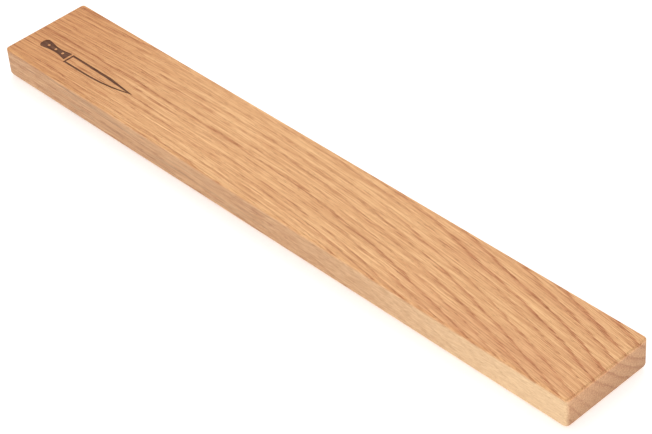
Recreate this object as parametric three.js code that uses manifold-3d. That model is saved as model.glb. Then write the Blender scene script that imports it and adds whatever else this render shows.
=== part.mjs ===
// Magnetic knife rack: a solid oak bar that hangs on two wall screws and holds knives by the blade.
//
// Frame: millimetres. X runs along the bar, +Y is the edge that faces up on the wall, and +Z points out of
// the wall, towards the knives. The origin is the centre of the wall-side face, so the bar fills Z = 0 to
// THICKNESS.
//
// From the front to the wall: oak face, two rows of block magnets, one steel keeper plate that joins the
// poles of the two rows, a packing batten, and a screwed back cover. A steel keyhole plate is let into the
// back at each end.

import * as THREE from "three";
import { mergeVertices } from "three/addons/utils/BufferGeometryUtils.js";
import Module from "manifold-3d";

const wasm = await Module();
wasm.setup();

// Driving dimensions, in millimetres.
const LENGTH = 500;
const WIDTH = 68;
const THICKNESS = 23;
const FRONT_EDGE_RADIUS = 1.5;
const BACK_EDGE_RADIUS = 4;
const CORNER_RADIUS = 2.5;
const GAP = 0.3; // between two pieces that rest on or in each other

const FRONT_WALL = 3; // oak left in front of the magnets
const CHANNEL = { length: 398, width: 36, cornerRadius: 5 };
const LEDGE = 8.5; // the step that the back cover rests on, all round the channel
const REBATE_DEPTH = 4;

const MAGNET = { length: 46, width: 12, thickness: 5, chamfer: 0.5 };
const MAGNETS_PER_ROW = 8;
const MAGNET_PITCH = 49;
const MAGNET_ROW_Y = 11.5;
const KEEPER = { length: 392, width: 35, thickness: 1.5, cornerRadius: 3 };
const BATTEN = { length: 396, width: 35, cornerRadius: 4 };
const COVER = { setBack: 0.5, cornerRadius: 5 };

const SCREW = { length: 12, tip: 2, threads: 5 };
const SCREW_RADIUS = { head: 2.5, shank: 1.25, root: 0.9 };
const SCREW_HEAD_HEIGHT = 1.6;
const SCREW_BELOW_FACE = 0.2; // how far a screw head sits below the face of the piece it holds
const SCREW_RECESS = { length: 2.8, width: 0.7, depth: 1.1 };
const THREAD_CREST = 0.7; // where a thread ridge peaks, as a share of its pitch
const COVER_SCREW_X = [-198, -66, 66, 198];

const HANGER = { length: 45, width: 18, thickness: 2, cornerRadius: 4, setBack: 0.5 };
const HANGER_X = 225;
const KEYHOLE = { entryRadius: 4.75, slotRadius: 2.4, entryY: -5, slotEndY: 7 };
const KEYHOLE_POCKET = { radius: 5.5, depth: 9.2 };
const HANGER_SCREW_Y = 18;

// Heights above the wall-side face, worked out from the front towards the wall.
const channelFloorZ = THICKNESS - FRONT_WALL;
const magnetZ = channelFloorZ - GAP - MAGNET.thickness;
const keeperZ = magnetZ - GAP - KEEPER.thickness;
const coverThickness = REBATE_DEPTH - GAP - COVER.setBack;
const battenThickness = keeperZ - GAP - (REBATE_DEPTH + GAP);
const hangerRecessDepth = HANGER.setBack + HANGER.thickness + GAP;
const coverLength = CHANNEL.length + 2 * LEDGE - 2 * GAP;
const coverWidth = CHANNEL.width + 2 * LEDGE - 2 * GAP;
const coverScrewY = CHANNEL.width / 2 + LEDGE / 2;

const CURVE_STEPS = 8; // straight pieces in a quarter or half turn of an outline
const ROUND_SEGMENTS = 12; // sides of a screw or a round hole
const OVERCUT = 1; // how far a cutting shape runs past the face that it cuts through

const oak = new THREE.MeshStandardMaterial({ color: 0xe0a878, roughness: 0.6, metalness: 0 });
const plywood = new THREE.MeshStandardMaterial({ color: 0xd9b98c, roughness: 0.7, metalness: 0 });
const poplar = new THREE.MeshStandardMaterial({ color: 0xd8c7a0, roughness: 0.8, metalness: 0 });
const nickel = new THREE.MeshStandardMaterial({ color: 0xc8c8c4, roughness: 0.25, metalness: 1 });
const zincSteel = new THREE.MeshStandardMaterial({ color: 0xb6babd, roughness: 0.4, metalness: 1 });
const keeperSteel = new THREE.MeshStandardMaterial({ color: 0x9aa0a4, roughness: 0.5, metalness: 1 });

// Solids ------------------------------------------------------------------------------------------

function toSolid(geometry) {
  const bare = geometry.index ? geometry.toNonIndexed() : geometry.clone();
  bare.deleteAttribute("normal");
  bare.deleteAttribute("uv");
  const merged = mergeVertices(bare, 1e-4);
  return new wasm.Manifold(
    new wasm.Mesh({
      numProp: 3,
      vertProperties: merged.attributes.position.array,
      triVerts: new Uint32Array(merged.index.array),
    }),
  );
}

function toGeometry(solid) {
  const mesh = solid.getMesh();
  const geometry = new THREE.BufferGeometry();
  geometry.setAttribute("position", new THREE.BufferAttribute(new Float32Array(mesh.vertProperties), 3));
  geometry.setIndex(new THREE.BufferAttribute(new Uint32Array(mesh.triVerts), 1));
  geometry.computeVertexNormals();
  return geometry;
}

function cut(solid, tools) {
  return tools.reduce((left, tool) => left.subtract(tool), solid);
}

// Outlines ----------------------------------------------------------------------------------------

// A rectangle round the origin. The corners on its low-Y and high-Y sides may have different radii.
function roundedRectangle(length, width, lowRadius, highRadius = lowRadius) {
  const x = length / 2;
  const y = width / 2;
  const shape = new THREE.Shape();
  shape.moveTo(-x + lowRadius, -y);
  shape.lineTo(x - lowRadius, -y);
  shape.absarc(x - lowRadius, -y + lowRadius, lowRadius, -Math.PI / 2, 0);
  shape.lineTo(x, y - highRadius);
  shape.absarc(x - highRadius, y - highRadius, highRadius, 0, Math.PI / 2);
  shape.lineTo(-x + highRadius, y);
  shape.absarc(-x + highRadius, y - highRadius, highRadius, Math.PI / 2, Math.PI);
  shape.lineTo(-x, -y + lowRadius);
  shape.absarc(-x + lowRadius, -y + lowRadius, lowRadius, Math.PI, 1.5 * Math.PI);
  return shape;
}

// The outline swept by a circle that moves along Y from one centre to the other.
function upright(radius, fromY, toY) {
  const shape = new THREE.Shape();
  shape.absarc(0, toY, radius, 0, Math.PI);
  shape.absarc(0, fromY, radius, Math.PI, 2 * Math.PI);
  return shape;
}

function extrude(shape, depth) {
  return new THREE.ExtrudeGeometry(shape, { depth, bevelEnabled: false, curveSegments: CURVE_STEPS });
}

// A pocket or plate with its outline in the XY plane, from low to high Z.
function slab(shape, low, high, x = 0, y = 0) {
  return toSolid(extrude(shape, high - low).translate(x, y, low));
}

// Oak body ----------------------------------------------------------------------------------------

// The bar is what three extruded outlines share: its plan, its end view and its long view.
function barBlank() {
  const plan = slab(roundedRectangle(LENGTH, WIDTH, CORNER_RADIUS), 0, THICKNESS);
  const endOutline = roundedRectangle(WIDTH, THICKNESS, BACK_EDGE_RADIUS, FRONT_EDGE_RADIUS);
  const longOutline = roundedRectangle(LENGTH, THICKNESS, BACK_EDGE_RADIUS, FRONT_EDGE_RADIUS);
  const endView = extrude(endOutline, LENGTH + 2 * OVERCUT)
    .rotateX(Math.PI / 2)
    .rotateZ(Math.PI / 2)
    .translate(-LENGTH / 2 - OVERCUT, 0, THICKNESS / 2);
  const longView = extrude(longOutline, WIDTH + 2 * OVERCUT)
    .rotateX(Math.PI / 2)
    .translate(0, WIDTH / 2 + OVERCUT, THICKNESS / 2);
  return plan.intersect(toSolid(endView)).intersect(toSolid(longView));
}

// The hole that takes a screw's shank, from the face under the screwed piece to past the screw's point.
function pilotHole(x, y, headZ) {
  const radius = SCREW_RADIUS.shank + GAP;
  const top = headZ + SCREW.length + OVERCUT;
  const hole = new THREE.CylinderGeometry(radius, radius, top, ROUND_SEGMENTS);
  return toSolid(hole.rotateX(Math.PI / 2).translate(x, y, top / 2));
}

function hangerPockets(x) {
  const { length, width, cornerRadius } = HANGER;
  const recess = roundedRectangle(width + 2 * GAP, length + 2 * GAP, cornerRadius + GAP);
  const travel = upright(KEYHOLE_POCKET.radius, KEYHOLE.entryY, KEYHOLE.slotEndY);
  const headZ = HANGER.setBack + SCREW_BELOW_FACE;
  return [
    slab(recess, -OVERCUT, hangerRecessDepth, x),
    slab(travel, -OVERCUT, hangerRecessDepth + KEYHOLE_POCKET.depth, x),
    pilotHole(x, -HANGER_SCREW_Y, headZ),
    pilotHole(x, HANGER_SCREW_Y, headZ),
  ];
}

function coverScrewPlaces() {
  return COVER_SCREW_X.flatMap((x) => [
    { x, y: coverScrewY },
    { x, y: -coverScrewY },
  ]);
}

function oakBody() {
  const channel = roundedRectangle(CHANNEL.length, CHANNEL.width, CHANNEL.cornerRadius);
  const rebate = roundedRectangle(coverLength + 2 * GAP, coverWidth + 2 * GAP, COVER.cornerRadius + GAP);
  const coverHeadZ = COVER.setBack + SCREW_BELOW_FACE;
  return cut(barBlank(), [
    slab(rebate, -OVERCUT, REBATE_DEPTH),
    slab(channel, -OVERCUT, channelFloorZ),
    ...hangerPockets(-HANGER_X),
    ...hangerPockets(HANGER_X),
    ...coverScrewPlaces().map(({ x, y }) => pilotHole(x, y, coverHeadZ)),
  ]);
}

// Pieces in the channel ---------------------------------------------------------------------------

function magnetGeometry() {
  const { length, width, thickness, chamfer } = MAGNET;
  const face = roundedRectangle(length - 2 * chamfer, width - 2 * chamfer, chamfer);
  const block = new THREE.ExtrudeGeometry(face, {
    depth: thickness - 2 * chamfer,
    bevelThickness: chamfer,
    bevelSize: chamfer,
    bevelSegments: 1,
    curveSegments: 2,
  });
  return block.translate(0, 0, chamfer);
}

function keeperGeometry() {
  return extrude(roundedRectangle(KEEPER.length, KEEPER.width, KEEPER.cornerRadius), KEEPER.thickness);
}

function battenGeometry() {
  return extrude(roundedRectangle(BATTEN.length, BATTEN.width, BATTEN.cornerRadius), battenThickness);
}

// Screwed pieces ----------------------------------------------------------------------------------

// A countersunk clearance hole for a screw whose head faces the wall, in a piece with that face at z = 0.
function countersunkHole(x, y, depth) {
  const clearance = SCREW_RADIUS.shank + GAP;
  const mouth = SCREW_RADIUS.head + GAP;
  const coneEnd = SCREW_BELOW_FACE + SCREW_HEAD_HEIGHT;
  const profile = [
    new THREE.Vector2(0, -OVERCUT),
    new THREE.Vector2(mouth, -OVERCUT),
    new THREE.Vector2(mouth, SCREW_BELOW_FACE),
    new THREE.Vector2(clearance, coneEnd),
    new THREE.Vector2(clearance, depth + OVERCUT),
    new THREE.Vector2(0, depth + OVERCUT),
  ];
  return toSolid(new THREE.LatheGeometry(profile, ROUND_SEGMENTS).rotateX(Math.PI / 2).translate(x, y, 0));
}

function coverSolid() {
  const outline = roundedRectangle(coverLength, coverWidth, COVER.cornerRadius);
  const holes = coverScrewPlaces().map(({ x, y }) => countersunkHole(x, y, coverThickness));
  return cut(slab(outline, 0, coverThickness), holes);
}

function hangerSolid() {
  const { length, width, thickness, cornerRadius } = HANGER;
  const entry = upright(KEYHOLE.entryRadius, KEYHOLE.entryY, KEYHOLE.entryY);
  const slot = upright(KEYHOLE.slotRadius, KEYHOLE.entryY, KEYHOLE.slotEndY);
  return cut(slab(roundedRectangle(width, length, cornerRadius), 0, thickness), [
    slab(entry, -OVERCUT, thickness + OVERCUT),
    slab(slot, -OVERCUT, thickness + OVERCUT),
    countersunkHole(0, -HANGER_SCREW_Y, thickness),
    countersunkHole(0, HANGER_SCREW_Y, thickness),
  ]);
}

// A countersunk wood screw with its head at z = 0 and its point up. The thread is a stack of ridges.
function screwSolid() {
  const threadEnd = SCREW.length - SCREW.tip;
  const pitch = (threadEnd - SCREW_HEAD_HEIGHT) / SCREW.threads;
  const profile = [new THREE.Vector2(0, 0), new THREE.Vector2(SCREW_RADIUS.head, 0)];
  for (let turn = 0; turn < SCREW.threads; turn += 1) {
    const z = SCREW_HEAD_HEIGHT + turn * pitch;
    profile.push(new THREE.Vector2(SCREW_RADIUS.root, z));
    profile.push(new THREE.Vector2(SCREW_RADIUS.shank, z + THREAD_CREST * pitch));
  }
  profile.push(new THREE.Vector2(SCREW_RADIUS.root, threadEnd), new THREE.Vector2(0, SCREW.length));
  const blank = toSolid(new THREE.LatheGeometry(profile, ROUND_SEGMENTS).rotateX(Math.PI / 2));
  const { length, width, depth } = SCREW_RECESS;
  const arms = [0, Math.PI / 2].map((turn) =>
    toSolid(new THREE.BoxGeometry(length, width, 2 * depth).rotateZ(turn)),
  );
  return cut(blank, arms);
}

// Assembly ----------------------------------------------------------------------------------------

const rack = new THREE.Group();

function place(name, geometry, material, x = 0, y = 0, z = 0) {
  const mesh = new THREE.Mesh(geometry, material);
  mesh.name = name;
  mesh.position.set(x, y, z);
  rack.add(mesh);
}

place("oak_body", toGeometry(oakBody()), oak);
place("keeper_plate", keeperGeometry(), keeperSteel, 0, 0, keeperZ);
place("packing_batten", battenGeometry(), poplar, 0, 0, REBATE_DEPTH + GAP);
place("back_cover", toGeometry(coverSolid()), plywood, 0, 0, COVER.setBack);

for (const [row, y] of [["upper", MAGNET_ROW_Y], ["lower", -MAGNET_ROW_Y]]) {
  for (let i = 0; i < MAGNETS_PER_ROW; i += 1) {
    const x = (i - (MAGNETS_PER_ROW - 1) / 2) * MAGNET_PITCH;
    place(`magnet_${row}_${i + 1}`, magnetGeometry(), nickel, x, y, magnetZ);
  }
}

const screwGeometry = toGeometry(screwSolid());
coverScrewPlaces().forEach(({ x, y }, i) => {
  place(`cover_screw_${i + 1}`, screwGeometry, zincSteel, x, y, COVER.setBack + SCREW_BELOW_FACE);
});

for (const [side, x] of [["left", -HANGER_X], ["right", HANGER_X]]) {
  place(`hanger_plate_${side}`, toGeometry(hangerSolid()), zincSteel, x, 0, HANGER.setBack);
  for (const [end, y] of [["upper", HANGER_SCREW_Y], ["lower", -HANGER_SCREW_Y]]) {
    place(`hanger_screw_${side}_${end}`, screwGeometry, zincSteel, x, y, HANGER.setBack + SCREW_BELOW_FACE);
  }
}

export default rack;
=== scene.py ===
"""Magnetic knife rack: the looks of a solid oak bar with hidden magnets, around its CAD frame.

Metres, in the CAD frame: X runs along the bar, +Y is up on the wall, +Z points out of the wall, and the bar
lies on its back on the floor at Z = 0. Lengths marked with MM are in millimetres.
"""

import math

import bmesh
import bpy
from mathutils import Matrix, Vector, noise


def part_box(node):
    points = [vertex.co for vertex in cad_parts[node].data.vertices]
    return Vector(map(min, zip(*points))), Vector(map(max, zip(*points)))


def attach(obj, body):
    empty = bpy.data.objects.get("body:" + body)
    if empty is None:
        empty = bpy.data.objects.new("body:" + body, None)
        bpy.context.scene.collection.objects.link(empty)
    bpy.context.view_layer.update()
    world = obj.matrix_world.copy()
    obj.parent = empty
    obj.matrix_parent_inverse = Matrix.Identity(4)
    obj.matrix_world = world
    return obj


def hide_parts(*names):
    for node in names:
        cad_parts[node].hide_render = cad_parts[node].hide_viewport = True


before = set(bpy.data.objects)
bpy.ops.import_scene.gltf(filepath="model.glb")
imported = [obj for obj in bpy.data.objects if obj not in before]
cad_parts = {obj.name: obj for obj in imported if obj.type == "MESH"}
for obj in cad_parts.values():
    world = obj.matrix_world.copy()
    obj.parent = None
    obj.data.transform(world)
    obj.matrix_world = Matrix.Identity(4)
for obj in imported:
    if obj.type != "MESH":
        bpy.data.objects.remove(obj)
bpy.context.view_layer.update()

MM = 0.001

# The frame gives the places and sizes of every part.
BAR_LOW, BAR_HIGH = (Vector(corner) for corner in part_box("oak_body"))
COVER_LOW, COVER_HIGH = (Vector(corner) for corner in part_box("back_cover"))
MAGNET_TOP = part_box("magnet_upper_1")[1][2]
PLATES = ("hanger_plate_left", "hanger_plate_right")
PLATE_SCREWS = tuple(f"hanger_screw_{side}_{end}"
                     for side in ("left", "right") for end in ("upper", "lower"))
COVER_SCREWS = tuple(f"cover_screw_{number}" for number in range(1, 9))
MAGNETS = tuple(f"magnet_{row}_{number}" for row in ("upper", "lower") for number in range(1, 9))

# The oak body, beyond what the frame says.
FRONT_EDGE = 1.5 * MM
BACK_EDGE = 4.0 * MM
PLAN_CORNER = 2.5 * MM
BACK_CORNER = 4.5 * MM  # the same corners where they meet the wall, sanded off further
GAP = 0.3 * MM
CHANNEL = (398 * MM, 36 * MM)
CHANNEL_CORNER = 5 * MM
COVER_CORNER = 5 * MM
SANDING = 0.07  # how much the hand-sanded edges waver, as a share of their inset
WAVER_SCALE = 22  # how many times an edge wavers in a metre
WAVER_PLACE = Vector((0, 0, 0.5))  # where in the noise the wavering is read
EDGE_STEPS = 7
LONG_STEPS = 50  # points along a long side and along a short side of the bar
SHORT_STEPS = 7
CORNER_STEPS = 8
HALF_TURN_STEPS = 24
OVERCUT = 1 * MM  # how far a cutter runs past the face that it cuts through

# The keyhole and the screw-head pocket behind it, with Y measured from the plate's centre.
ENTRY_RADIUS = 4.75 * MM
SLOT_RADIUS = 2.4 * MM
ENTRY_Y = -5 * MM
SLOT_END_Y = 7 * MM
POCKET_RADIUS = 5.5 * MM
POCKET_TOP = 12 * MM
PLATE_CORNER = 4 * MM
PLATE_BEVEL = 0.25 * MM
COVER_BEVEL = 0.3 * MM

# The screws, with Z measured from the head's face to the point.
SCREW_LENGTH = 12 * MM
HEAD_RADIUS = 2.5 * MM
HEAD_HEIGHT = 1.6 * MM
HEAD_RIM = 0.3 * MM
SHANK_RADIUS = 1.25 * MM
ROOT_RADIUS = 0.9 * MM
THREAD_PITCH = 1.35 * MM
THREAD_ROWS = 8  # rows of points in one turn of the thread
THREAD_START = 0.4 * MM  # from the head's cone to where the thread begins to rise
THREAD_RUN_IN = 1 * MM
RIDGE_HALF_WIDTH = 0.25  # as a share of the pitch
POINT_LENGTH = 3 * MM
POINT_CURVE = 0.7
SCREW_TURN = 0.71  # how far each screw is turned on from the one before it, in radians
HEAD_BEVEL = 0.1 * MM
SCREW_SIDES = 24
BELOW_FACE = 0.2 * MM
RECESS_LENGTH = 2.8 * MM
RECESS_WIDTH = 0.7 * MM
RECESS_DEPTH = 1.1 * MM
RECESS_OVERCUT = 0.3 * MM
RECESS_TAPER = 0.4

# Meshes --------------------------------------------------------------------------------------------


def new_object(name, mesh, *materials):
    piece = bpy.data.objects.new(name, mesh)
    bpy.context.scene.collection.objects.link(piece)
    for material in materials:
        mesh.materials.append(material)
    return piece


def mesh_from(bm, name):
    bmesh.ops.recalc_face_normals(bm, faces=bm.faces)
    mesh = bpy.data.meshes.new(name)
    bm.to_mesh(mesh)
    bm.free()
    return mesh


def arc(centre, radius, start, end, steps):
    """Points of an arc from one angle to the other, in degrees, both ends included."""
    points = []
    for step in range(steps + 1):
        angle = math.radians(start + (end - start) * step / steps)
        points.append((centre[0] + radius * math.cos(angle), centre[1] + radius * math.sin(angle)))
    return points


def rounded_rectangle(length, width, radius, centre=(0, 0), long_steps=1, short_steps=1):
    """A closed outline, counter-clockwise, with extra points along its straight sides if asked for."""
    x, y = length / 2 - radius, width / 2 - radius
    corners = ((x, -y, -90), (x, y, 0), (-x, y, 90), (-x, -y, 180))
    points = []
    for index, (corner_x, corner_y, start) in enumerate(corners):
        corner = (centre[0] + corner_x, centre[1] + corner_y)
        points += arc(corner, radius, start, start + 90, CORNER_STEPS)
        following = corners[(index + 1) % 4]
        next_start = math.radians(following[2])
        end = Vector(points[-1])
        goal = Vector((centre[0] + following[0] + radius * math.cos(next_start),
                       centre[1] + following[1] + radius * math.sin(next_start)))
        steps = short_steps if index % 2 == 0 else long_steps
        points += [tuple(end.lerp(goal, step / steps)) for step in range(1, steps)]
    return points


def slotted_outline(radius, low_y, high_y, centre):
    """The outline swept by a circle that moves along Y."""
    x, y = centre
    return (arc((x, y + high_y), radius, 0, 180, HALF_TURN_STEPS)
            + arc((x, y + low_y), radius, 180, 360, HALF_TURN_STEPS))


def add_band(bm, lower, upper):
    count = len(lower)
    for index in range(count):
        following = (index + 1) % count
        bm.faces.new((lower[index], lower[following], upper[following], upper[index]))


def add_prism(bm, outline, low, high, top_scale=1.0):
    bottom = [bm.verts.new((x, y, low)) for x, y in outline]
    top = [bm.verts.new((x * top_scale, y * top_scale, high)) for x, y in outline]
    add_band(bm, bottom, top)
    bm.faces.new(bottom[::-1])
    bm.faces.new(top)


def prisms(name, pieces):
    """One mesh of separate prisms. Each piece is its outline, its low Z and its high Z."""
    bm = bmesh.new()
    for outline, low, high in pieces:
        add_prism(bm, outline, low, high)
    return mesh_from(bm, name)


def turnings(name, pieces, steps=32):
    """One mesh of separate turned solids. Each piece is its centre, then its radii and heights."""
    bm = bmesh.new()
    for (centre_x, centre_y), profile in pieces:
        rings = []
        for radius, z in profile:
            points = arc((centre_x, centre_y), radius, 0, 360 - 360 / steps, steps - 1)
            rings.append([bm.verts.new((x, y, z)) for x, y in points])
        for lower, upper in zip(rings, rings[1:]):
            add_band(bm, lower, upper)
        bm.faces.new(rings[0][::-1])
        bm.faces.new(rings[-1])
    return mesh_from(bm, name)


def settle(piece):
    """Keeps what the piece's modifiers make as its own mesh."""
    depsgraph = bpy.context.evaluated_depsgraph_get()
    result = bpy.data.meshes.new_from_object(piece.evaluated_get(depsgraph))
    piece.modifiers.clear()
    piece.data = result


def carve(piece, *cutters):
    """Cuts each mesh out of the piece, in turn."""
    for number, mesh in enumerate(cutters):
        cutter = new_object(f"cutter_{number}", mesh)
        modifier = piece.modifiers.new("cut", "BOOLEAN")
        modifier.operation = "DIFFERENCE"
        modifier.solver = "EXACT"
        modifier.object = cutter
        settle(piece)
        bpy.data.objects.remove(cutter)


def round_edges(piece, width, sharp_degrees=50):
    modifier = piece.modifiers.new("round", "BEVEL")
    modifier.width = width
    modifier.segments = 2
    modifier.limit_method = "ANGLE"
    modifier.angle_limit = math.radians(sharp_degrees)
    settle(piece)


def soften(piece, sharp_degrees=35):
    """Smooth shading on round stretches, with flat faces kept flat."""
    piece.data.shade_smooth()
    bm = bmesh.new()
    bm.from_mesh(piece.data)
    for edge in bm.edges:
        edge.smooth = len(edge.link_faces) == 2 and edge.calc_face_angle() < math.radians(sharp_degrees)
    bm.to_mesh(piece.data)
    bm.free()
    modifier = piece.modifiers.new("weighted_normals", "WEIGHTED_NORMAL")
    modifier.keep_sharp = True
    modifier.weight = 100


def fit_out(piece, material, node):
    """Gives a finished piece its material, and puts it in the place of a CAD node."""
    piece.data.materials.clear()
    piece.data.materials.append(material)
    soften(piece)
    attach(piece, "root")
    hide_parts(node)


# Node graphs ---------------------------------------------------------------------------------------


def srgb(red, green, blue):
    """The linear colour of an 8-bit sRGB colour, with alpha."""
    linear = []
    for channel in (red, green, blue):
        value = channel / 255
        linear.append(value / 12.92 if value <= 0.04045 else ((value + 0.055) / 1.055) ** 2.4)
    return (*linear, 1.0)


class Graph:
    """A material's node tree. Every input may be a number, a colour or another node's output."""

    def __init__(self, name):
        self.material = bpy.data.materials.new(name)
        self.material.use_nodes = True
        self.tree = self.material.node_tree
        self.shader = self.tree.nodes["Principled BSDF"]

    def feed(self, socket, value):
        if isinstance(value, bpy.types.NodeSocket):
            self.tree.links.new(value, socket)
        else:
            socket.default_value = value

    def node(self, kind, inputs=None, **settings):
        node = self.tree.nodes.new(kind)
        for key, value in settings.items():
            setattr(node, key, value)
        for key, value in (inputs or {}).items():
            self.feed(node.inputs[key], value)
        return node

    def math(self, operation, *values):
        node = self.tree.nodes.new("ShaderNodeMath")
        node.operation = operation
        for socket, value in zip(node.inputs, values):
            self.feed(socket, value)
        return node.outputs[0]

    def add(self, *values):
        total = values[0]
        for value in values[1:]:
            total = self.math("ADD", total, value)
        return total

    def times(self, *values):
        total = values[0]
        for value in values[1:]:
            total = self.math("MULTIPLY", total, value)
        return total

    def remap(self, value, low, high, to_low=0.0, to_high=1.0, smooth=True):
        node = self.node("ShaderNodeMapRange", interpolation_type="SMOOTHSTEP" if smooth else "LINEAR")
        for key, number in (("Value", value), ("From Min", low), ("From Max", high),
                            ("To Min", to_low), ("To Max", to_high)):
            self.feed(node.inputs[key], number)
        return node.outputs["Result"]

    def mix(self, factor, one, other, blend="MIX"):
        node = self.node("ShaderNodeMix", data_type="RGBA", blend_type=blend)
        for socket, value in ((node.inputs[0], factor), (node.inputs[6], one), (node.inputs[7], other)):
            self.feed(socket, value)
        return node.outputs[2]

    def shade(self, colour, *factors):
        """The colour made lighter or darker by every factor."""
        scale = self.times(*factors) if len(factors) > 1 else factors[0]
        return self.node("ShaderNodeVectorMath", {0: colour, "Scale": scale}, operation="SCALE").outputs[0]

    def position_mm(self):
        """The object's own coordinates in millimetres: a vector, and its X, Y and Z."""
        place = self.node("ShaderNodeTexCoord").outputs["Object"]
        scaled = self.node("ShaderNodeVectorMath", {0: place, 1: (1000, 1000, 1000)}, operation="MULTIPLY")
        split = self.node("ShaderNodeSeparateXYZ", {0: scaled.outputs[0]})
        return scaled.outputs[0], split.outputs[0], split.outputs[1], split.outputs[2]

    def noise(self, x, y, z, sizes, detail=2.0, roughness=0.5, shift=0.0):
        """Noise from 0 to 1 with features of about the three sizes along X, Y and Z."""
        parts = [self.math("MULTIPLY_ADD", value, 1 / size, shift) for value, size in zip((x, y, z), sizes)]
        vector = self.node("ShaderNodeCombineXYZ", dict(enumerate(parts)))
        return self.node("ShaderNodeTexNoise", {"Vector": vector.outputs[0], "Scale": 1.0, "Detail": detail,
                                                "Roughness": roughness}).outputs["Fac"]

    def ramp(self, factor, *stops):
        """A colour ramp. Each stop is its place and its grey level or colour."""
        node = self.node("ShaderNodeValToRGB", {"Fac": factor})
        elements = node.color_ramp.elements
        while len(elements) < len(stops):
            elements.new(0.5)
        for element, (place, colour) in zip(elements, stops):
            element.position = place
            element.color = colour if isinstance(colour, tuple) else (colour, colour, colour, 1)
        return node.outputs["Color"]

    def bump(self, height, distance_mm, strength=1.0):
        node = self.node("ShaderNodeBump", {"Height": height, "Distance": distance_mm * MM,
                                            "Strength": strength})
        return node.outputs["Normal"]

    def finish(self, colour, roughness, normal=None, **sockets):
        self.feed(self.shader.inputs["Base Color"], colour)
        self.feed(self.shader.inputs["Roughness"], roughness)
        if normal is not None:
            self.feed(self.shader.inputs["Normal"], normal)
        for key, value in sockets.items():
            self.feed(self.shader.inputs[key.replace("_", " ").title()], value)
        return self.material


# Oak -----------------------------------------------------------------------------------------------

PITH_Y = 92  # where the tree's centre line lies beside the board, in millimetres
PITH_Z = 102
PITH_DISTANCE = 120  # from the pith to the middle of the front face
RING_WIDTH = 4.6
RING_WIDTH_DRIFT = -0.0013  # the rings get wider towards +X, by this share of a ring per millimetre
RING_DRIFT = (-0.055, -0.00036, -5e-7)  # how the rings wander along the board: X, X squared, X cubed
FIRST_YEAR = 83  # picks which rings are strong and which are faint
GRAIN_BEND = 0.0002  # the fibres run along a shallow arc: this times the square of the way from its crest
GRAIN_CREST_X = -110

OAK_LIGHT = srgb(250, 199, 142)
OAK_RING = srgb(208, 132, 80)
OAK_VESSEL = srgb(190, 114, 66)
OAK_PORE = srgb(140, 82, 44)
OAK_LINE = srgb(230, 204, 180)  # what the light wood is multiplied by in its darker lines
OAK_AMBER = srgb(230, 208, 186)  # what the wood is multiplied by towards the left-hand end of the front face
OAK_RUSSET = srgb(214, 146, 100)
# The long sides' colour: partly their own greyer tone, partly painted shade that offsets the floor's glow
# lighting them from below.
OAK_SIDE = srgb(193, 153, 118)
OAK_STAIN = srgb(166, 134, 104)
# The right-hand end of the lower edge: partly paler wood, partly a painted glare of light.
OAK_CREAM = srgb(240, 205, 160)
END_GRAIN = srgb(248, 246, 250)  # what the wood is multiplied by on the sawn ends
CHAR_DARK = srgb(56, 26, 17)
CHAR_LIGHT = srgb(100, 54, 34)

# Noise sizes along the fibres and across them, in millimetres.
WANDER_SIZE = (280, 60, 60)
RIPPLE_SIZE = (50, 12, 12)
FEATHER_SIZE = (40, 0.8, 0.8)
STREAK_SIZE = (55, 0.9, 0.9)
FIBRE_SIZE = (20, 0.5, 0.5)
VESSEL_SIZE = (17, 0.5, 0.5)
PORE_SIZE = (5, 0.26, 0.26)
CLOUD_SIZE = (90, 22, 22)
STAIN_SIZE = (48, 6, 2.6)
SCORCH_SIZE = (9, 1.2, 1.2)

# How far each noise moves the rings, in millimetres.
WANDER = 3
RIPPLE = 0.7
FEATHER = 1.2
UNEVEN = 0.6  # how much the rings differ in width, as a share of a ring

RING_PROFILE = ((0.0, 0.0), (0.06, 1.0), (0.17, 0.7), (0.35, 0.22), (0.75, 0.0), (1.0, 0.0))
FAINT_RING = 0.4
STRONG_RING = 1.15


def grain_height(graph, x, y):
    """Y across the fibres, which bend along the board."""
    from_crest = graph.math("SUBTRACT", x, GRAIN_CREST_X)
    return graph.add(y, graph.times(from_crest, from_crest, GRAIN_BEND))


def ring_share(graph, x, y, z):
    """How far a point lies in the dark, porous early wood of its growth ring, from 0 to 1."""
    wander = graph.noise(x, y, z, WANDER_SIZE, detail=1.0, shift=3.1)
    ripple = graph.noise(x, y, z, RIPPLE_SIZE, detail=2.0, shift=8.7)
    across = grain_height(graph, x, y)
    feather = graph.noise(x, across, z, FEATHER_SIZE, detail=2.0, roughness=0.6, shift=21.3)
    from_y = graph.math("SUBTRACT", y, PITH_Y)
    from_z = graph.math("SUBTRACT", z, PITH_Z)
    radius = graph.math("SQRT", graph.add(graph.times(from_y, from_y), graph.times(from_z, from_z)))
    linear, square, cube = RING_DRIFT
    slope = graph.math("MULTIPLY_ADD", x, cube, square)
    slope = graph.math("MULTIPLY_ADD", x, slope, linear)
    depth = graph.add(radius, -PITH_DISTANCE, graph.times(x, slope),
                      graph.remap(wander, 0.2, 0.8, -WANDER, WANDER, smooth=False),
                      graph.remap(ripple, 0.2, 0.8, -RIPPLE, RIPPLE, smooth=False),
                      graph.remap(feather, 0.2, 0.8, -FEATHER, FEATHER, smooth=False))
    scale = graph.math("MULTIPLY_ADD", x, RING_WIDTH_DRIFT / RING_WIDTH, 1 / RING_WIDTH)
    phase = graph.times(depth, scale)
    uneven = graph.node("ShaderNodeTexNoise", {"W": phase, "Scale": 0.8, "Detail": 0.0},
                        noise_dimensions="1D")
    phase = graph.math("MULTIPLY_ADD", uneven.outputs["Fac"], UNEVEN, phase)
    year = graph.math("ADD", graph.math("FLOOR", phase), FIRST_YEAR)
    season = graph.node("ShaderNodeTexWhiteNoise", {"W": year}, noise_dimensions="1D")
    profile = graph.ramp(graph.math("FRACT", phase), *RING_PROFILE)
    strength = graph.remap(season.outputs["Value"], 0, 1, FAINT_RING, STRONG_RING, smooth=False)
    return graph.times(profile, strength)


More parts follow.
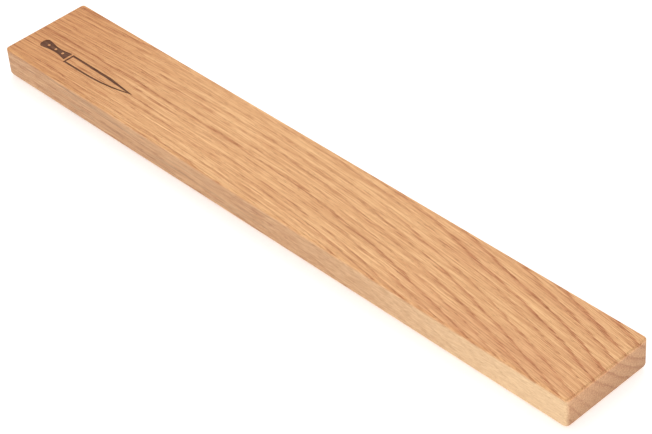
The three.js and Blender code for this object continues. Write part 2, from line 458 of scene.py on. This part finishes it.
def pale_wood_and_painted_glare_share(graph, x, y, z):
    """1 at the right-hand end of the lower edge, where the wood is paler and a glare of light is painted on,
    and 0 away from it.
    """
    return graph.times(graph.remap(y, -31, -34), graph.remap(z, 23, 20), graph.remap(x, 0, 240))


def board_tint_and_painted_light(graph, colour, x, y, z, cloud):
    """The slow colour changes over the whole board. The long sides' colour is partly painted shade, and the
    pale right-hand end of the lower edge is partly a painted glare.
    """
    skin = graph.remap(z, 20, 22.6)
    amber = graph.times(skin, graph.remap(x, -90, -240), 0.75)
    colour = graph.mix(amber, colour, graph.mix(1.0, colour, OAK_AMBER, "MULTIPLY"))
    russet = graph.times(graph.remap(x, 60, 170), graph.remap(cloud, 0.42, 0.62), skin, 0.35)
    colour = graph.mix(russet, colour, OAK_RUSSET)
    side = graph.math("SUBTRACT", 1.0, skin)
    # Partly the long sides' own greyer tone, partly painted shade.
    colour = graph.mix(graph.times(side, 0.62), colour, OAK_SIDE)
    stain = graph.noise(x, y, z, STAIN_SIZE, detail=3.0, shift=17.9)
    stain = graph.times(graph.remap(stain, 0.5, 0.7), side, graph.remap(x, 90, -60), 0.4)
    colour = graph.mix(stain, colour, OAK_STAIN)
    # Partly paler wood, partly a painted glare of light.
    return graph.mix(graph.times(pale_wood_and_painted_glare_share(graph, x, y, z), 0.88), colour, OAK_CREAM)


def oak_grain(graph):
    """The colour, roughness and height of oiled oak, solid through the board."""
    _, x, y, z = graph.position_mm()
    across = grain_height(graph, x, y)
    ring = ring_share(graph, x, y, z)
    streak = graph.noise(x, across, z, STREAK_SIZE, detail=3.0, roughness=0.65, shift=1.7)
    fibre = graph.noise(x, across, z, FIBRE_SIZE, detail=2.0, shift=5.3)
    cloud = graph.noise(x, y, z, CLOUD_SIZE, detail=2.0, shift=12.4)

    vessels = graph.noise(x, across, z, VESSEL_SIZE, detail=2.0, roughness=0.6, shift=9.9)
    vessel = graph.remap(graph.math("MULTIPLY_ADD", ring, 0.17, vessels), 0.58, 0.7)
    pores = graph.noise(x, across, z, PORE_SIZE, detail=1.0, shift=15.2)
    pore = graph.remap(graph.math("MULTIPLY_ADD", ring, 0.12, pores), 0.66, 0.73)

    strength = graph.math("MAXIMUM", graph.remap(x, 20, 180, 0.37, 0.68),
                          graph.remap(x, -70, -220, 0.37, 0.56))
    colour = graph.mix(graph.times(ring, strength), OAK_LIGHT, OAK_RING)
    colour = graph.mix(graph.times(vessel, 0.62), colour, OAK_VESSEL)
    colour = board_tint_and_painted_light(graph, colour, x, y, z, cloud)
    # Fainter lines and pores where the wood is paler and the glare is painted.
    calm = graph.math("MULTIPLY_ADD", pale_wood_and_painted_glare_share(graph, x, y, z), -0.6, 1.0)
    for lines, depth in ((streak, 0.5), (fibre, 0.45)):
        darker = graph.mix(1.0, colour, OAK_LINE, "MULTIPLY")
        colour = graph.mix(graph.times(graph.remap(lines, 0.6, 0.38), calm, depth), colour, darker)
    shaded = graph.shade(colour, graph.remap(streak, 0.3, 0.7, 0.94, 1.07, smooth=False),
                         graph.remap(fibre, 0.3, 0.7, 0.965, 1.035, smooth=False),
                         graph.remap(cloud, 0.3, 0.7, 0.98, 1.015, smooth=False))
    colour = graph.mix(graph.times(pore, calm, 0.5), shaded, OAK_PORE)

    height = graph.add(graph.times(pore, -1.0), graph.times(vessel, -0.5), graph.times(fibre, 0.35),
                       graph.times(streak, 0.25))
    roughness = graph.add(graph.remap(streak, 0.3, 0.7, 0.46, 0.56, smooth=False), graph.times(pore, 0.2),
                          graph.times(ring, 0.05))
    return colour, roughness, height


def end_grain_shares(graph):
    """How far a face is a sawn end, and how far it is the sanded edge of one, from 0 to 1."""
    normal = graph.node("ShaderNodeNewGeometry").outputs["Normal"]
    split = graph.node("ShaderNodeSeparateXYZ", {0: normal})
    along = graph.math("ABSOLUTE", split.outputs[0])
    edge = graph.times(graph.remap(along, 0.15, 0.5), graph.remap(split.outputs[2], 0.1, 0.5))
    return graph.remap(along, 0.55, 0.9), edge


def oak_material():
    graph = Graph("oiled_oak")
    colour, roughness, height = oak_grain(graph)
    end, edge = end_grain_shares(graph)
    _, _, y, z = graph.position_mm()
    # Painted shade on the sawn ends: darker towards the floor and lighter at the top, and darker towards +Y.
    end_with_painted_shade = graph.shade(graph.mix(1.0, colour, END_GRAIN, "MULTIPLY"),
                         graph.remap(z, 2, 22, 0.885, 1.115, smooth=False),
                         graph.remap(y, BAR_LOW.y / MM, BAR_HIGH.y / MM, 1.02, 0.94, smooth=False))
    colour = graph.mix(end, colour, end_with_painted_shade)
    # Up to 16 % darker along the rounded edges between the front face and the ends.
    colour = graph.shade(colour, graph.math("MULTIPLY_ADD", edge, -0.16, 1.0))
    roughness = graph.math("MULTIPLY_ADD", end, 0.08, roughness)
    return graph.finish(colour, roughness, graph.bump(height, 0.06, 0.6))


def burnt_oak_material():
    graph = Graph("burnt_oak")
    colour, _, height = oak_grain(graph)
    _, x, y, z = graph.position_mm()
    scorch = graph.noise(x, y, z, SCORCH_SIZE, detail=3.0, shift=4.2)
    charred = graph.mix(graph.remap(scorch, 0.3, 0.72), CHAR_DARK, CHAR_LIGHT)
    colour = graph.mix(0.12, charred, colour)
    return graph.finish(colour, graph.remap(scorch, 0.3, 0.7, 0.85, 0.65), graph.bump(height, 0.1, 0.8))


# The other materials -------------------------------------------------------------------------------

PLY_THICKNESS = 1.07


def plywood_material():
    """Sanded birch plywood: pale, with faint wild figure on the face and three plies on the edge."""
    graph = Graph("birch_plywood")
    _, x, y, z = graph.position_mm()
    swirl = graph.noise(x, y, z, (95, 16, 16), detail=1.5, shift=2.9)
    figure = graph.math("PINGPONG", graph.times(swirl, 9.0), 0.5)
    streak = graph.noise(x, y, z, (18, 0.7, 0.7), detail=3.0, shift=6.1)
    fleck = graph.noise(x, y, z, (3.0, 0.3, 0.3), detail=1.0, shift=11.7)
    colour = graph.mix(graph.remap(figure, 0.0, 0.5, 0.0, 0.6), srgb(228, 202, 162), srgb(206, 172, 128))
    colour = graph.mix(graph.remap(fleck, 0.64, 0.72, 0, 0.45), colour, srgb(172, 134, 92))
    colour = graph.shade(colour, graph.remap(streak, 0.3, 0.7, 0.94, 1.05, smooth=False))
    normal = graph.node("ShaderNodeNewGeometry").outputs["Normal"]
    facing = graph.math("ABSOLUTE", graph.node("ShaderNodeSeparateXYZ", {0: normal}).outputs[2])
    ply_top = COVER_HIGH.z / MM
    ply = graph.math("PINGPONG", graph.math("SUBTRACT", ply_top, z), PLY_THICKNESS)
    ply = graph.remap(ply, 0.5, 0.58)
    edge = graph.mix(ply, srgb(196, 158, 112), srgb(164, 122, 82))
    colour = graph.mix(graph.remap(facing, 0.7, 0.4), colour, edge)
    height = graph.add(graph.times(fleck, -0.6), graph.times(streak, 0.5))
    return graph.finish(colour, graph.remap(streak, 0.3, 0.7, 0.6, 0.72), graph.bump(height, 0.05, 0.5))


def poplar_material():
    """Planed poplar: greenish cream, straight and plain."""
    graph = Graph("planed_poplar")
    _, x, y, z = graph.position_mm()
    wave = graph.noise(x, y, z, (160, 24, 24), detail=1.0, shift=4.4)
    ring = graph.math("PINGPONG", graph.math("MULTIPLY_ADD", y, 0.09, graph.times(wave, 4.0)), 0.5)
    streak = graph.noise(x, y, z, (24, 0.8, 0.8), detail=3.0, shift=7.7)
    colour = graph.mix(graph.remap(ring, 0.1, 0.5), srgb(222, 208, 168), srgb(198, 184, 140))
    colour = graph.shade(colour, graph.remap(streak, 0.3, 0.7, 0.92, 1.05, smooth=False))
    return graph.finish(colour, graph.remap(streak, 0.3, 0.7, 0.68, 0.8), graph.bump(streak, 0.06, 0.5))


def metal_material(name, light, dark, line_sizes, roughness, scratch_depth_mm, patch_mm=9):
    """Bare or plated metal with drawn lines, small scratches and patches of duller finish."""
    graph = Graph(name)
    _, x, y, z = graph.position_mm()
    lines = graph.noise(x, y, z, line_sizes, detail=3.0, roughness=0.6, shift=3.3)
    patches = graph.noise(x, y, z, (patch_mm, patch_mm, patch_mm), detail=3.0, shift=13.8)
    scratch = graph.noise(x, y, z, [size * 0.45 for size in line_sizes], detail=1.0, shift=19.6)
    scratch = graph.remap(scratch, 0.66, 0.72)
    colour = graph.mix(graph.remap(patches, 0.3, 0.7), light, dark)
    colour = graph.shade(colour, graph.remap(lines, 0.3, 0.7, 0.94, 1.04, smooth=False))
    low, high = roughness
    rough = graph.add(graph.remap(patches, 0.3, 0.7, low, high, smooth=False), graph.times(scratch, 0.12),
                      graph.remap(lines, 0.3, 0.7, -0.03, 0.03, smooth=False))
    height = graph.math("MULTIPLY_ADD", scratch, -0.7, lines)
    return graph.finish(colour, rough, graph.bump(height, scratch_depth_mm, 0.4), metallic=1.0)


def zinc_material():
    return metal_material("zinc_plate", srgb(214, 217, 222), srgb(186, 188, 190), (0.35, 9, 0.35),
                          (0.26, 0.44), 0.01)


def screw_material():
    return metal_material("zinc_screw", srgb(206, 208, 212), srgb(170, 171, 172), (0.4, 0.4, 1.5),
                          (0.24, 0.42), 0.01, patch_mm=2.5)


def nickel_material():
    return metal_material("nickel_plate", srgb(214, 210, 200), srgb(196, 190, 178), (2.5, 1.2, 1.2),
                          (0.14, 0.3), 0.006)


def keeper_material():
    return metal_material("rolled_steel", srgb(150, 153, 156), srgb(112, 113, 114), (30, 0.4, 0.4),
                          (0.36, 0.56), 0.012, patch_mm=22)


# The oak body --------------------------------------------------------------------------------------

MARK_DEPTH = 0.25 * MM
MARK_TOLERANCE = 0.02 * MM


def edge_profile():
    """The heights, insets and corner radii of the bar's lofted outlines, from back to front."""
    rows = []
    angles = [math.pi / 2 * step / EDGE_STEPS for step in range(EDGE_STEPS + 1)]
    for angle in angles:
        away = 1 - math.sin(angle)
        corner = PLAN_CORNER + (BACK_CORNER - PLAN_CORNER) * away
        rows.append((BACK_EDGE * (1 - math.cos(angle)), BACK_EDGE * away, corner))
    for angle in angles:
        inset = FRONT_EDGE * (1 - math.cos(angle))
        rows.append((BAR_HIGH.z - FRONT_EDGE * (1 - math.sin(angle)), inset, PLAN_CORNER - inset))
    return rows


def bar_blank():
    """The bar before milling. Its rounded edges waver a little, as hand sanding leaves them."""
    size = BAR_HIGH - BAR_LOW
    bm = bmesh.new()
    rings = []
    for z, inset, corner in edge_profile():
        outline = rounded_rectangle(size.x - 2 * inset, size.y - 2 * inset, corner,
                                    long_steps=LONG_STEPS, short_steps=SHORT_STEPS)
        ring = []
        for x, y in outline:
            wear = inset * SANDING * noise.noise(Vector((x, y, 0)) * WAVER_SCALE + WAVER_PLACE)
            ring.append(bm.verts.new((x * (1 - wear / size.x * 2), y * (1 - wear / size.y * 2), z)))
        rings.append(ring)
    for lower, upper in zip(rings, rings[1:]):
        add_band(bm, lower, upper)
    bm.faces.new(rings[0][::-1])
    bm.faces.new(rings[-1])
    return mesh_from(bm, "oak_bar")


def node_centre(node):
    low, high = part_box(node)
    return (low[0] + high[0]) / 2, (low[1] + high[1]) / 2


def back_cutters():
    """What is milled and drilled out of the bar from its back."""
    cover = COVER_HIGH - COVER_LOW
    rebate = rounded_rectangle(cover.x + 2 * GAP, cover.y + 2 * GAP, COVER_CORNER + GAP)
    channel = rounded_rectangle(*CHANNEL, CHANNEL_CORNER)
    recesses, pockets, pilots = [], [], []
    for plate in PLATES:
        low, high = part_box(plate)
        centre = node_centre(plate)
        outline = rounded_rectangle(high[0] - low[0] + 2 * GAP, high[1] - low[1] + 2 * GAP,
                                    PLATE_CORNER + GAP, centre)
        recesses.append((outline, -OVERCUT, high[2] + GAP))
        pockets.append((slotted_outline(POCKET_RADIUS, ENTRY_Y, SLOT_END_Y, centre), -OVERCUT, POCKET_TOP))
    for screw in COVER_SCREWS + PLATE_SCREWS:
        radius = SHANK_RADIUS + GAP
        profile = ((radius, -OVERCUT), (radius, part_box(screw)[1][2] + OVERCUT))
        pilots.append((node_centre(screw), profile))
    return (
        prisms("rebate", [(rebate, -OVERCUT, COVER_HIGH.z + GAP)]),
        prisms("channel", [(channel, -OVERCUT, MAGNET_TOP + GAP)]),
        prisms("recesses", recesses),
        prisms("pockets", pockets),
        turnings("pilots", pilots, steps=16),
    )


# The burnt mark is a plain pictogram of a kitchen knife, with its handle towards -X.
MARK_Y = -12.5 * MM
HANDLE_START = -236 * MM
HANDLE_LENGTH = 27 * MM
HANDLE_WIDTH = 8.4 * MM
BOLSTER_GAP = 1.6 * MM
RIVET_RADIUS = 1.0 * MM
RIVET_PLACES = (0.25, 0.52, 0.79)  # along the handle, as shares of its length
BLADE_LENGTH = 64 * MM
BLADE_STROKE = 1.4 * MM
SPINE_ABOVE = 3.6 * MM
EDGE_BELOW = 5.6 * MM


def blade_outline(stroke):
    """A kitchen knife's blade, point towards +X, drawn in by the stroke on every side."""
    heel = HANDLE_START + HANDLE_LENGTH + BOLSTER_GAP + stroke
    spine = MARK_Y + SPINE_ABOVE - stroke
    edge = MARK_Y - EDGE_BELOW + stroke
    length = BLADE_LENGTH - stroke * 4.6
    steps = 20
    points = [(heel, edge)]
    for step in range(1, steps + 1):
        share = step / steps
        rise = max(0, (share - 0.3) / 0.7) ** 2.2
        points.append((heel + length * share, edge + (spine - edge) * 0.72 * rise))
    points.append((heel + length * 0.62, spine - stroke * 0.5))
    points.append((heel, spine))
    return points


def handle_outline():
    """A handle that swells at its butt and its middle."""
    low, high = [], []
    steps = 40
    for step in range(steps + 1):
        share = step / steps
        x = HANDLE_START + HANDLE_LENGTH * share
        butt = math.sqrt(max(0.0, 1 - max(0.0, 1 - share * 9) ** 2))
        half = HANDLE_WIDTH / 2 * (0.78 + 0.22 * math.cos(share * math.pi * 1.7)) * max(butt, 0.35)
        low.append((x, MARK_Y - half))
        high.append((x, MARK_Y + half))
    return low + high[::-1]


def mark_cutter():
    top = BAR_HIGH.z + OVERCUT
    floor = BAR_HIGH.z - MARK_DEPTH
    outlines = (handle_outline(), blade_outline(0))
    mark = new_object("mark", prisms("mark", [(outline, floor, top) for outline in outlines]))
    through = ((RIVET_RADIUS, floor - OVERCUT), (RIVET_RADIUS, top + OVERCUT))
    rivets = [((HANDLE_START + HANDLE_LENGTH * share, MARK_Y), through) for share in RIVET_PLACES]
    inside = [(blade_outline(BLADE_STROKE), floor - OVERCUT, top + OVERCUT)]
    carve(mark, turnings("rivets", rivets, steps=20), prisms("blade_inside", inside))
    mesh = mark.data
    bpy.data.objects.remove(mark)
    return mesh


def in_mark(face):
    """Whether a face lies in the burnt mark: just below the front face and away from its edges."""
    centre = face.calc_center_median()
    below = BAR_HIGH.z - centre.z
    inside = abs(centre.y) < BAR_HIGH.y - 2 * FRONT_EDGE and abs(centre.x) < BAR_HIGH.x - 2 * FRONT_EDGE
    return MARK_TOLERANCE < below < MARK_DEPTH + MARK_TOLERANCE and inside


# Where the board's faces go on its baked texture, as (left, bottom, right, top). The long faces are wrapped
# in one strip, the back is seen flat, and the mark, the ends and the hollows' walls have a corner each.
STRIP = (0.01, 0.345, 0.99, 0.99)
BACK = (0.01, 0.205, 0.99, 0.335)
MARK = (0.01, 0.14, 0.99, 0.195)
END_LEFT = (0.01, 0.01, 0.34, 0.13)
END_RIGHT = (0.35, 0.01, 0.68, 0.13)
WALLS = (0.69, 0.01, 0.99, 0.13)


def into(rectangle, across, up):
    left, bottom, right, top = rectangle
    return left + (right - left) * across, bottom + (top - bottom) * up


def round_the_bar(place):
    """How far a point is round the bar's long faces, from the lower edge's back to the upper edge's back."""
    size = BAR_HIGH - BAR_LOW
    if place.y < 0:
        distance = place.z + place.y - BAR_LOW.y
    else:
        distance = 2 * size.z + size.y - (BAR_HIGH.y - place.y) - place.z
    return distance / (2 * size.z + size.y)


def texture_place(face, place):
    """Where a corner of a face goes on the texture, or None on a wall of a hollow."""
    size = BAR_HIGH - BAR_LOW
    along = (place.x - BAR_LOW.x) / size.x
    across = (place.y - BAR_LOW.y) / size.y
    centre = face.calc_center_median()
    outside = abs(centre.x) > BAR_HIGH.x - BACK_EDGE or abs(centre.y) > BAR_HIGH.y - BACK_EDGE
    if face.material_index == 1:
        mark_low = HANDLE_START
        mark_length = HANDLE_LENGTH + BOLSTER_GAP + BLADE_LENGTH
        return into(MARK, (place.x - mark_low) / mark_length,
                    (place.y - MARK_Y + EDGE_BELOW) / (EDGE_BELOW + HANDLE_WIDTH / 2))
    if face.normal.z < -0.5:
        return into(BACK, along, across)
    if outside and abs(face.normal.x) > 0.72:
        return into(END_LEFT if centre.x < 0 else END_RIGHT, across, place.z / size.z)
    if outside or face.normal.z > 0.5:
        return into(STRIP, along, round_the_bar(place))
    return None


def lay_out_texture(piece):
    """Gives the board its own texture layout, so that the grain keeps its detail when it is baked."""
    bm = bmesh.new()
    bm.from_mesh(piece.data)
    layer = bm.loops.layers.uv.new("OFBake")
    for face in bm.faces:
        places = [texture_place(face, loop.vert.co) for loop in face.loops]
        face.select = places[0] is None
        for loop, place in zip(face.loops, places):
            loop[layer].uv = place or (0, 0)
    bm.to_mesh(piece.data)
    bm.free()
    piece.data.uv_layers.active = piece.data.uv_layers["OFBake"]
    bpy.context.view_layer.objects.active = piece
    bpy.ops.object.mode_set(mode="EDIT")
    bpy.ops.uv.smart_project(angle_limit=1.15, island_margin=0.01, scale_to_bounds=True)
    bpy.ops.object.mode_set(mode="OBJECT")
    coordinates = piece.data.uv_layers["OFBake"].uv
    for polygon in piece.data.polygons:
        if polygon.select:
            for index in polygon.loop_indices:
                coordinates[index].vector = into(WALLS, *coordinates[index].vector)


def oak_body():
    piece = new_object("oak_board", bar_blank())
    carve(piece, *back_cutters(), mark_cutter())
    piece.data.materials.clear()
    piece.data.materials.append(oak_material())
    piece.data.materials.append(burnt_oak_material())
    bm = bmesh.new()
    bm.from_mesh(piece.data)
    for face in bm.faces:
        face.material_index = 1 if in_mark(face) else 0
    bm.to_mesh(piece.data)
    bm.free()
    lay_out_texture(piece)
    soften(piece)
    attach(piece, "root")
    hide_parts("oak_body")


# Plates, cover and screws --------------------------------------------------------------------------


def keyhole_outline(centre):
    """A round entry with a slot that runs up from it."""
    x, y = centre
    meeting = math.degrees(math.acos(SLOT_RADIUS / ENTRY_RADIUS))
    top = arc((x, y + SLOT_END_Y), SLOT_RADIUS, 0, 180, 20)
    return top + arc((x, y + ENTRY_Y), ENTRY_RADIUS, 180 - meeting, 360 + meeting, 48)


def countersinks(low, high, screws):
    """The holes for screws whose heads face the wall, through a sheet between two heights."""
    mouth = HEAD_RADIUS + GAP
    clearance = SHANK_RADIUS + GAP
    cone = low + BELOW_FACE + HEAD_RIM
    profile = ((mouth, low - OVERCUT), (mouth, cone), (clearance, cone + HEAD_HEIGHT - HEAD_RIM),
               (clearance, high + OVERCUT))
    return turnings("countersinks", [(node_centre(screw), profile) for screw in screws])


def hanger_plate(node, screws, material):
    low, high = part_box(node)
    centre = node_centre(node)
    outline = rounded_rectangle(high[0] - low[0], high[1] - low[1], PLATE_CORNER, centre)
    piece = new_object(f"{node}_steel", prisms(node, [(outline, low[2], high[2])]))
    keyhole = (keyhole_outline(centre), low[2] - OVERCUT, high[2] + OVERCUT)
    carve(piece, prisms("keyhole", [keyhole]))
    round_edges(piece, PLATE_BEVEL)
    carve(piece, countersinks(low[2], high[2], screws))
    fit_out(piece, material, node)


def back_cover():
    size = COVER_HIGH - COVER_LOW
    outline = rounded_rectangle(size.x, size.y, COVER_CORNER)
    piece = new_object("cover_sheet", prisms("cover", [(outline, COVER_LOW.z, COVER_HIGH.z)]))
    round_edges(piece, COVER_BEVEL)
    carve(piece, countersinks(COVER_LOW.z, COVER_HIGH.z, COVER_SCREWS))
    fit_out(piece, plywood_material(), "back_cover")


def thread_radius(z, angle):
    """The radius of the screw's threaded part at a height and an angle."""
    phase = (z / THREAD_PITCH - angle / (2 * math.pi)) % 1
    ridge = max(0.0, 1 - abs(phase - 0.5) / RIDGE_HALF_WIDTH)
    taper = min(1.0, (SCREW_LENGTH - z) / POINT_LENGTH) ** POINT_CURVE
    start = min(1.0, max(0.0, (z - HEAD_HEIGHT - THREAD_START) / THREAD_RUN_IN))
    return taper * (ROOT_RADIUS + (SHANK_RADIUS - ROOT_RADIUS) * ridge * start)


def screw_mesh():
    """A countersunk screw with a helical thread and a tapered cross recess, its head at Z = 0."""
    bm = bmesh.new()
    turns = [2 * math.pi * side / SCREW_SIDES for side in range(SCREW_SIDES)]
    head = ((0.0, HEAD_RADIUS - HEAD_BEVEL), (HEAD_BEVEL, HEAD_RADIUS), (HEAD_RIM, HEAD_RADIUS),
            (HEAD_HEIGHT, ROOT_RADIUS))
    radii = [(z, [radius] * SCREW_SIDES) for z, radius in head]
    step = THREAD_PITCH / THREAD_ROWS
    z = HEAD_HEIGHT + step
    while z < SCREW_LENGTH - step:
        radii.append((z, [thread_radius(z, angle) for angle in turns]))
        z += step
    rings = []
    for z, ring in radii:
        rings.append([bm.verts.new((radius * math.cos(angle), radius * math.sin(angle), z))
                      for radius, angle in zip(ring, turns)])
    for lower, upper in zip(rings, rings[1:]):
        add_band(bm, lower, upper)
    bm.faces.new(rings[0][::-1])
    tip = bm.verts.new((0, 0, SCREW_LENGTH))
    for side in range(SCREW_SIDES):
        bm.faces.new((rings[-1][side], rings[-1][(side + 1) % SCREW_SIDES], tip))
    blank = new_object("screw", mesh_from(bm, "screw"))
    arm, half = RECESS_LENGTH / 2, RECESS_WIDTH / 2
    quarter = ((arm, -half), (arm, half), (half, half))
    cross = []
    for turn in range(4):
        spin = Matrix.Rotation(turn * math.pi / 2, 2)
        cross += [tuple(spin @ Vector(corner)) for corner in quarter]
    recess = bmesh.new()
    add_prism(recess, cross, -RECESS_OVERCUT, RECESS_DEPTH, RECESS_TAPER)
    carve(blank, mesh_from(recess, "recess"))
    mesh = blank.data
    bpy.data.objects.remove(blank)
    return mesh


def screws():
    shared = screw_mesh()
    material = screw_material()
    for number, node in enumerate(COVER_SCREWS + PLATE_SCREWS):
        mesh = shared.copy()
        x, y = node_centre(node)
        turn = Matrix.Rotation(number * SCREW_TURN, 4, "Z")
        mesh.transform(Matrix.Translation((x, y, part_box(node)[0][2])) @ turn)
        fit_out(new_object(f"{node}_steel", mesh), material, node)


def hidden_pieces():
    """The magnets, the keeper and the batten keep their CAD shapes."""
    finishes = {"keeper_plate": keeper_material(), "packing_batten": poplar_material()}
    nickel = nickel_material()
    finishes.update({magnet: nickel for magnet in MAGNETS})
    for node, material in finishes.items():
        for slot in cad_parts[node].material_slots:
            slot.material = material


# Camera, light and floor ---------------------------------------------------------------------------

# The camera: a long lens that looks down on the bar from beyond its right-hand end. The two directions are
# those of the picture's right and its bottom.
LENS = 121.2
SENSOR_WIDTH = 36
CAMERA_PLACE = Vector((0.8081983, -0.6729178, 0.8642734))
PICTURE_RIGHT = Vector((0.6911772, 0.7196194, -0.0664980))
PICTURE_DOWN = Vector((0.4266260, -0.4805655, -0.7661899))
FAR_CLIP = 50

BACKDROP = (1.0, 0.99, 0.975, 1)
BACKDROP_STRENGTH = 0.7
BACKDROP_SEEN = (1, 1, 1, 1)  # the white that stands behind the floor, so that no horizon shows

FLOOR_HALF = 8.0
FLOOR_DARK = (0.84, 0.85, 0.85, 1)
FLOOR_LIGHT = (0.87, 0.88, 0.88, 1)
FLOOR_GLOW = 0.45  # a faint light of its own, which keeps the shadow round the bar pale


def camera():
    data = bpy.data.cameras.new("camera")
    data.lens = LENS
    data.sensor_width = SENSOR_WIDTH
    data.clip_end = FAR_CLIP
    forward = PICTURE_RIGHT.cross(PICTURE_DOWN)
    rotation = Matrix((PICTURE_RIGHT, -PICTURE_DOWN, -forward)).transposed().to_4x4()
    piece = bpy.data.objects.new("camera", data)
    piece.matrix_world = Matrix.Translation(CAMERA_PLACE) @ rotation
    bpy.context.scene.collection.objects.link(piece)
    bpy.context.scene.camera = piece


def softbox(name, place, target, size, power):
    data = bpy.data.lights.new(name, "AREA")
    data.shape = "RECTANGLE"
    data.size, data.size_y = size
    data.energy = power
    lamp = bpy.data.objects.new(name, data)
    lamp.location = place
    lamp.rotation_euler = (Vector(target) - Vector(place)).to_track_quat("-Z", "Y").to_euler()
    bpy.context.scene.collection.objects.link(lamp)


def studio():
    world = bpy.data.worlds.new("studio")
    world.use_nodes = True
    tree = world.node_tree
    backdrop = tree.nodes["Background"]
    backdrop.inputs["Color"].default_value = BACKDROP
    backdrop.inputs["Strength"].default_value = BACKDROP_STRENGTH
    seen = tree.nodes.new("ShaderNodeBackground")
    seen.inputs["Color"].default_value = BACKDROP_SEEN
    ray = tree.nodes.new("ShaderNodeLightPath")
    either = tree.nodes.new("ShaderNodeMixShader")
    tree.links.new(ray.outputs["Is Camera Ray"], either.inputs[0])
    tree.links.new(backdrop.outputs[0], either.inputs[1])
    tree.links.new(seen.outputs[0], either.inputs[2])
    tree.links.new(either.outputs[0], tree.nodes["World Output"].inputs["Surface"])
    bpy.context.scene.world = world
    softbox("key", place=(-0.5, 0.7, 1.6), target=(0, 0, 0), size=(1.6, 1.2), power=9)
    softbox("side", place=(0.9, -0.9, 0.5), target=(0.2, 0, 0.01), size=(0.5, 0.5), power=2.2)


def floor():
    graph = Graph("floor_paper")
    _, x, y, z = graph.position_mm()
    tooth = graph.noise(x, y, z, (3, 3, 3), detail=3.0)
    colour = graph.mix(tooth, FLOOR_DARK, FLOOR_LIGHT)
    graph.finish(colour, graph.remap(tooth, 0, 1, 0.7, 0.8), emission_color=(1, 1, 1, 1),
                 emission_strength=FLOOR_GLOW)
    bm = bmesh.new()
    bm.faces.new([bm.verts.new((x_sign * FLOOR_HALF, y_sign * FLOOR_HALF, 0))
                  for x_sign, y_sign in ((-1, -1), (1, -1), (1, 1), (-1, 1))])
    new_object("floor", mesh_from(bm, "floor"), graph.material)


def view_settings():
    settings = bpy.context.scene.view_settings
    settings.view_transform = "Standard"
    settings.look = "None"


camera()
studio()
floor()
view_settings()
oak_body()
back_cover()
zinc = zinc_material()
for plate, plate_screws in zip(PLATES, (PLATE_SCREWS[:2], PLATE_SCREWS[2:])):
    hanger_plate(plate, plate_screws, zinc)
screws()
hidden_pieces()
